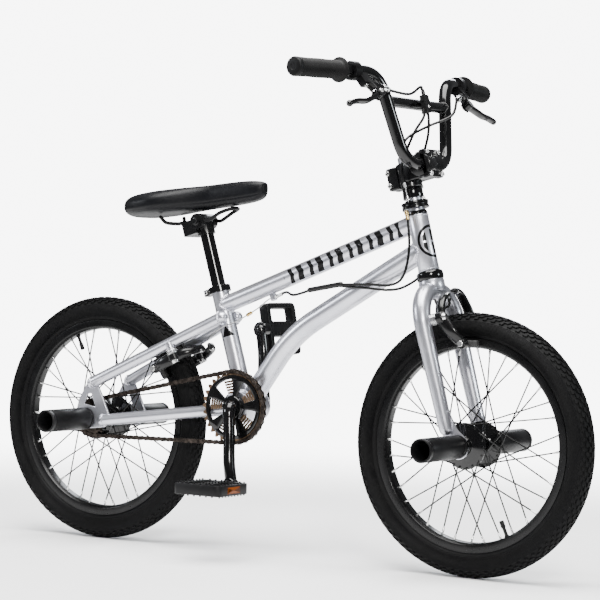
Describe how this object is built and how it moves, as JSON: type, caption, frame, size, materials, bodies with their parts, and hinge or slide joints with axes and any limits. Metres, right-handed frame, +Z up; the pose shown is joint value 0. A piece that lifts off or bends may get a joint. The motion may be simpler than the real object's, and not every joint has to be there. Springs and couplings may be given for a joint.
{
  "type": "bmx bike",
  "caption": "Freestyle bike with small spoked wheels, steel frame, spinning handlebar, hand brakes, axle pegs, chain drive and padded saddle.",
  "frame": {"origin": "on the ground, in the middle of the length between the two tyres, on the plane of symmetry of the frame", "axes": "+X points forward, +Y to the rider's left and +Z up"},
  "size_m": [1.244, 0.6558, 0.8766],
  "materials": {
    "silver_paint": "satin metallic silver",
    "gloss_black": "gloss black",
    "satin_black": "satin black",
    "tyre_rubber": "matte",
    "grip_rubber": "matte",
    "saddle_vinyl": "smooth black vinyl",
    "bright_steel": "bright",
    "bronze_plate": "bronze brown plating",
    "chain_steel": "dark oiled",
    "cable_plastic": "black",
    "black_alloy": "gloss black anodised",
    "pedal_plastic": "satin black moulded"
  },
  "bodies": {
    "frame": {"head_tube": "silver_paint", "top_tube": "silver_paint", "down_tube": "silver_paint", "seat_tube": "silver_paint", "bottom_bracket_shell": "silver_paint", "left_chain_stay": "silver_paint", "right_chain_stay": "silver_paint", "left_seat_stay": "silver_paint", "right_seat_stay": "silver_paint", "left_dropout": "silver_paint", "right_dropout": "silver_paint", "headset_lower_cup": "gloss_black", "headset_upper_cup": "gloss_black", "seat_post_clamp": "gloss_black", "rear_axle": "bright_steel", "left_rear_peg": "satin_black", "right_rear_peg": "satin_black", "left_bottom_bracket_cup": "satin_black", "right_bottom_bracket_cup": "satin_black", "chain": "chain_steel", "rear_brake_cable": "cable_plastic"},
    "seat": {"seat_post": "gloss_black", "seat_clamp": "gloss_black", "saddle_rails": "gloss_black", "saddle": "saddle_vinyl"},
    "steering": {"fork": "silver_paint", "stem": "black_alloy", "stem_face_plate": "black_alloy", "headset_spacer": "black_alloy", "handlebar": "gloss_black", "left_grip": "grip_rubber", "right_grip": "grip_rubber", "left_lever_bracket": "black_alloy", "right_lever_bracket": "black_alloy", "cable_splitter": "cable_plastic", "rear_brake_lever_cable": "cable_plastic", "front_brake_cable": "cable_plastic", "front_axle": "bright_steel", "left_front_peg": "satin_black", "right_front_peg": "satin_black"},
    "left_lever": {"left_brake_lever": "black_alloy"},
    "right_lever": {"right_brake_lever": "black_alloy"},
    "gyro_lower": {"gyro_lower_plate": "black_alloy", "gyro_bearing": "bright_steel"},
    "gyro_upper": {"gyro_upper_plate": "black_alloy"},
    "front_left_brake_arm": {"front_brake_left_arm": "black_alloy"},
    "front_right_brake_arm": {"front_brake_right_arm": "black_alloy"},
    "rear_left_brake_arm": {"rear_brake_left_arm": "black_alloy"},
    "rear_right_brake_arm": {"rear_brake_right_arm": "black_alloy"},
    "front_wheel": {"front_hub": "black_alloy", "front_rim": "black_alloy", "front_tyre": "tyre_rubber"},
    "rear_wheel": {"rear_hub": "black_alloy", "rear_rim": "black_alloy", "rear_tyre": "tyre_rubber"},
    "crank": {"crank": "gloss_black", "sprocket": "bronze_plate"},
    "freewheel": {"freewheel": "chain_steel"},
    "left_pedal": {"left_pedal": "pedal_plastic"},
    "right_pedal": {"right_pedal": "pedal_plastic"}
  },
  "joints": [
    {"name": "steering_turn", "type": "hinge", "parent": "frame", "child": "steering", "pos_m": [0.29773, 0, 0.52237], "axis": [-0.2672, 0, 0.9636], "continuous": true},
    {"name": "front_wheel_spin", "type": "hinge", "parent": "steering", "child": "front_wheel", "pos_m": [0.3945, 0, 0.2275], "axis": [0, 1, 0], "continuous": true},
    {"name": "rear_wheel_spin", "type": "hinge", "parent": "frame", "child": "rear_wheel", "pos_m": [-0.3945, 0, 0.2275], "axis": [0, 1, 0], "continuous": true},
    {"name": "crank_spin", "type": "hinge", "parent": "frame", "child": "crank", "pos_m": [-0.0745, 0, 0.2667], "axis": [0, 1, 0], "continuous": true},
    {"name": "freewheel_spin", "type": "hinge", "parent": "frame", "child": "freewheel", "pos_m": [-0.3945, 0, 0.2275], "axis": [0, 1, 0], "continuous": true},
    {"name": "left_pedal_spin", "type": "hinge", "parent": "crank", "child": "left_pedal", "pos_m": [-0.10241, 0.09, 0.40389], "axis": [0, 1, 0], "continuous": true},
    {"name": "right_pedal_spin", "type": "hinge", "parent": "crank", "child": "right_pedal", "pos_m": [-0.04659, -0.09, 0.12951], "axis": [0, 1, 0], "continuous": true},
    {"name": "left_lever_squeeze", "type": "hinge", "parent": "steering", "child": "left_lever", "pos_m": [0.27828, 0.15502, 0.81903], "axis": [0.7394, 0.1414, 0.6582], "range_deg": [0, 18], "stiffness_Nm_per_rad": 0.5},
    {"name": "right_lever_squeeze", "type": "hinge", "parent": "steering", "child": "right_lever", "pos_m": [0.27828, -0.15502, 0.81903], "axis": [-0.7394, 0.1414, -0.6582], "range_deg": [0, 18], "stiffness_Nm_per_rad": 0.5},
    {"name": "gyro_upper_lift", "type": "slide", "parent": "steering", "child": "gyro_upper", "axis": [-0.2672, 0, 0.9636], "range_m": [0, 0.004]},
    {"name": "gyro_lower_lift", "type": "slide", "parent": "frame", "child": "gyro_lower", "axis": [-0.2672, 0, 0.9636], "range_m": [0, 0.004]},
    {"name": "front_left_arm_turn", "type": "hinge", "parent": "steering", "child": "front_left_brake_arm", "pos_m": [0.33816, 0.052, 0.44019], "axis": [-0.9636, 0, -0.2672], "range_deg": [0, 2.2]},
    {"name": "front_right_arm_turn", "type": "hinge", "parent": "steering", "child": "front_right_brake_arm", "pos_m": [0.33816, -0.052, 0.44019], "axis": [0.9636, 0, 0.2672], "range_deg": [0, 2.2]},
    {"name": "rear_left_arm_turn", "type": "hinge", "parent": "frame", "child": "rear_left_brake_arm", "pos_m": [-0.21465, 0.044, 0.36376], "axis": [-0.446, 0, 0.895], "range_deg": [0, 2.2]},
    {"name": "rear_right_arm_turn", "type": "hinge", "parent": "frame", "child": "rear_right_brake_arm", "pos_m": [-0.21465, -0.044, 0.36376], "axis": [0.446, 0, -0.895], "range_deg": [0, 2.2]},
    {"name": "seat_height", "type": "slide", "parent": "frame", "child": "seat", "axis": [-0.3024, 0, 0.9532], "range_m": [-0.02, 0.06]}
  ],
  "couplings": [
    {"joint": "freewheel_spin", "follows": "crank_spin", "ratio": 2},
    {"joint": "front_left_arm_turn", "follows": "left_lever_squeeze", "ratio": 0.11111},
    {"joint": "rear_left_arm_turn", "follows": "right_lever_squeeze", "ratio": 0.11111},
    {"joint": "front_right_arm_turn", "follows": "left_lever_squeeze", "ratio": 0.11111},
    {"joint": "rear_right_arm_turn", "follows": "right_lever_squeeze", "ratio": 0.11111},
    {"joint": "gyro_upper_lift", "follows": "right_lever_squeeze", "m_per_rad": 0.011141},
    {"joint": "gyro_lower_lift", "follows": "right_lever_squeeze", "m_per_rad": 0.011141}
  ]
}
